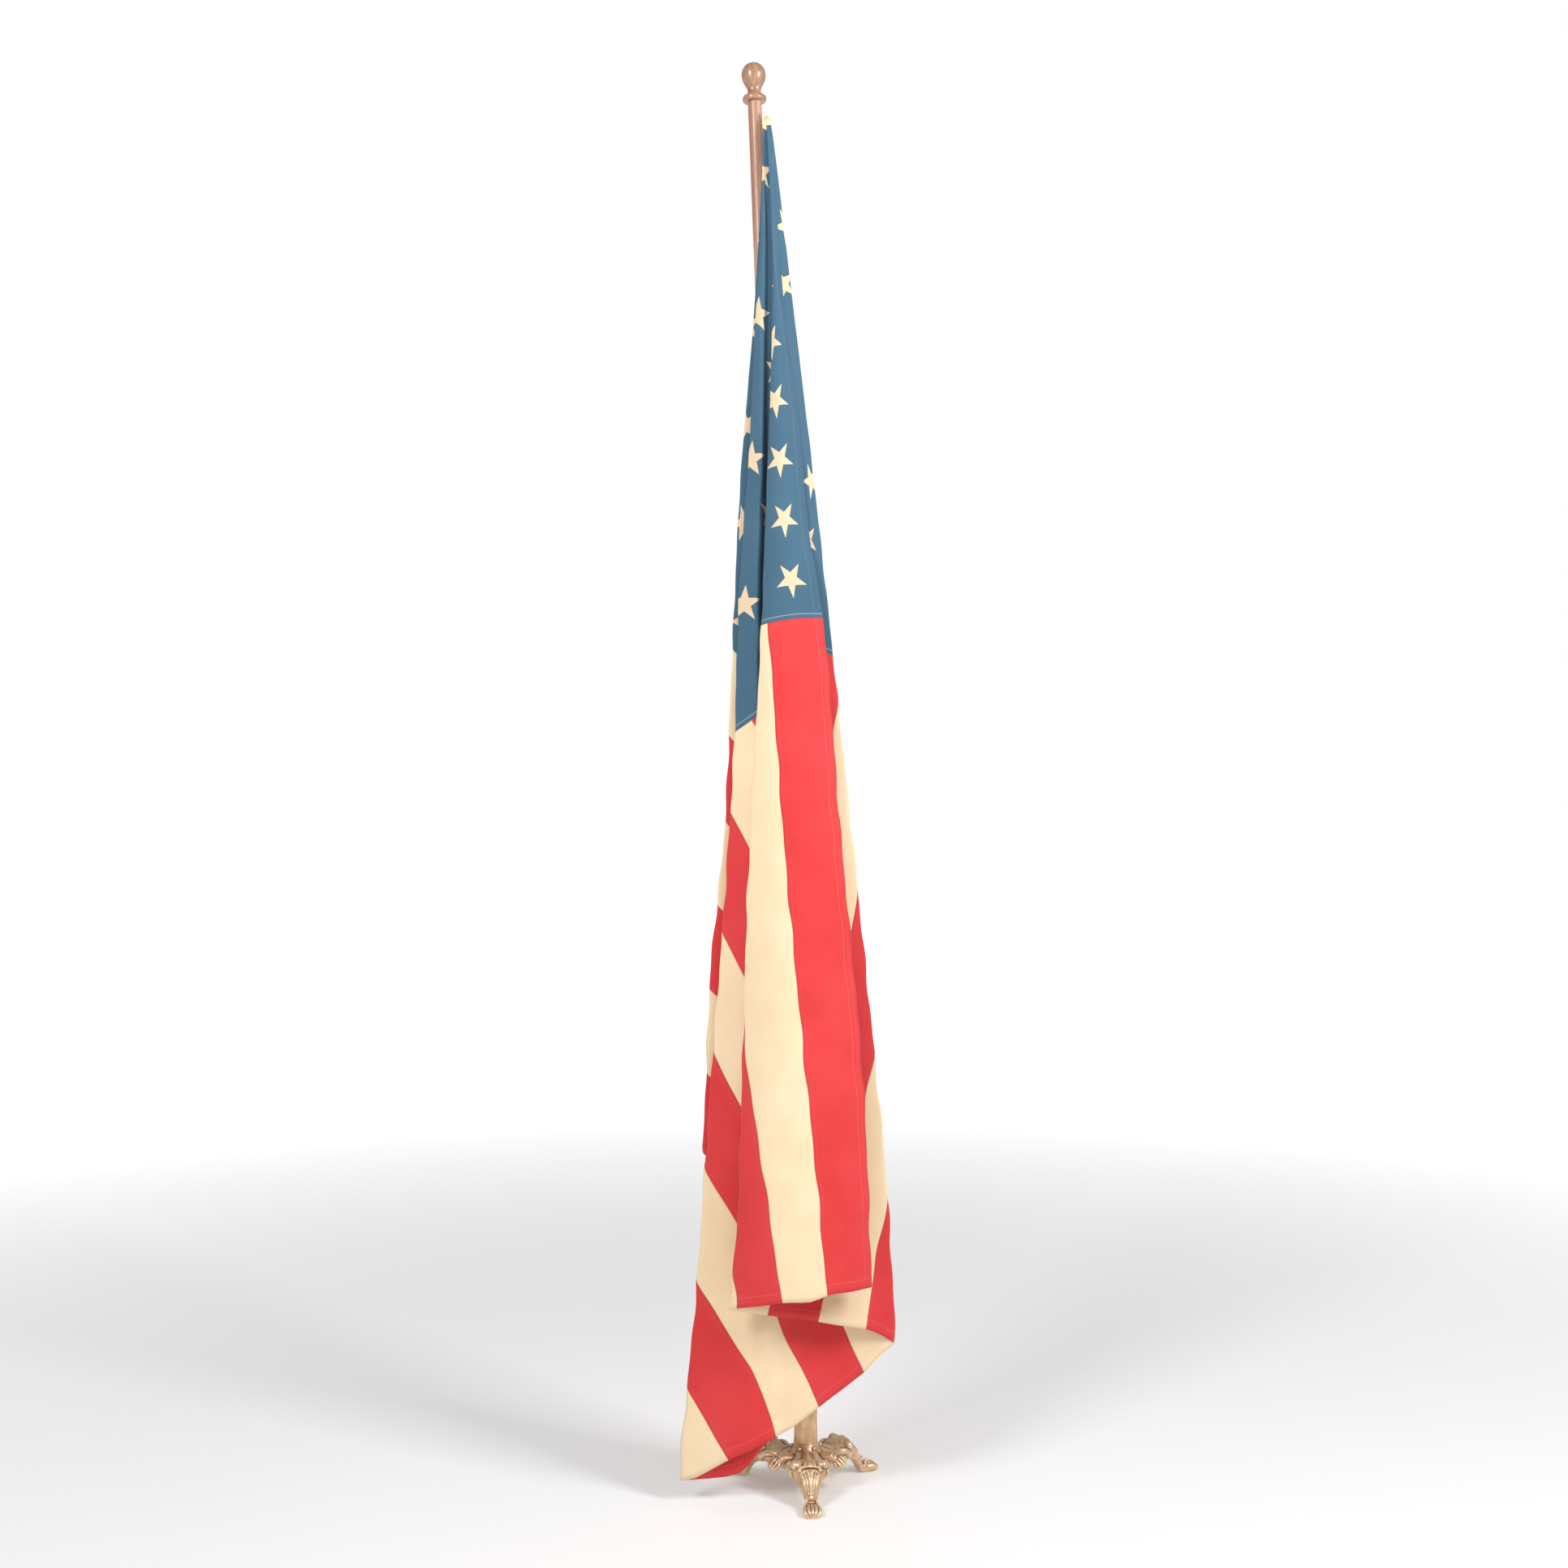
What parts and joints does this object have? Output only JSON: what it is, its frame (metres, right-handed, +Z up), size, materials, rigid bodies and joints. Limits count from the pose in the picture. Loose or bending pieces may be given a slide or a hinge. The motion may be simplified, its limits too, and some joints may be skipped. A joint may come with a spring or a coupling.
{
  "type": "flag pole stand",
  "caption": "Cast tripod floor stand with a short column that holds a leaning jointed wooden pole with a ball finial and a limp striped flag.",
  "frame": {"origin": "on the floor, at the middle of the whole object's footprint box; the column's axis stands at x = 36 mm, y = 64 mm", "axes": "+Z up along the column; -Y is the front, where the flag's face and the front leg are; +X is to the viewer's right"},
  "size_m": [0.3958, 0.3259, 2.6285],
  "materials": {
    "gold_paint_casting": "satin",
    "gold_paint_column": "satin",
    "plain_steel": "satin",
    "brass": "satin",
    "pole_wood": "satin",
    "finial_wood": "gloss",
    "flag_cloth": "matte",
    "heading_canvas": "matte"
  },
  "bodies": {
    "stand": {"hub_casting": "gold_paint_casting", "leg_front": "gold_paint_casting", "leg_right": "gold_paint_casting", "leg_left": "gold_paint_casting", "leg_screws": "plain_steel", "hub_bolt": "plain_steel", "hub_washer": "plain_steel", "column": "gold_paint_column", "column_collar": "gold_paint_column"},
    "pinch_pad": {"clamp_pad": "brass"},
    "pinch_screw": {"thumbscrew": "brass"},
    "pole_foot": {"pole_tip": "brass"},
    "lower_section": {"lower_pole": "pole_wood", "socket_ferrule": "brass"},
    "upper_section": {"upper_pole": "pole_wood", "spigot_ferrule": "brass", "finial": "finial_wood", "finial_dowel": "pole_wood", "flag_cloth": "flag_cloth", "flag_heading": "heading_canvas", "grommet_top": "brass", "grommet_bottom": "brass", "flag_hook": "brass"}
  },
  "joints": [
    {"name": "pole_lift", "type": "slide", "parent": "stand", "child": "pole_foot", "axis": [-0.0393, 0, 0.9992], "range_m": [0, 0.13]},
    {"name": "pole_turn", "type": "hinge", "parent": "pole_foot", "child": "lower_section", "pos_m": [0.03846, 0.064, 0.0948], "axis": [-0.0393, 0, 0.9992], "continuous": true},
    {"name": "pole_joint_pull", "type": "slide", "parent": "lower_section", "child": "upper_section", "axis": [-0.0393, 0, 0.9992], "range_m": [0, 0.045]},
    {"name": "screw_travel", "type": "slide", "parent": "stand", "child": "pinch_pad", "axis": [0, -1, 0], "range_m": [0, 0.003]},
    {"name": "screw_turn", "type": "hinge", "parent": "pinch_pad", "child": "pinch_screw", "pos_m": [0.036, 0.094, 0.209], "axis": [0, -1, 0], "range_deg": [0, 864]}
  ],
  "couplings": [
    {"joint": "screw_travel", "follows": "screw_turn", "m_per_rad": 0.00019894}
  ]
}
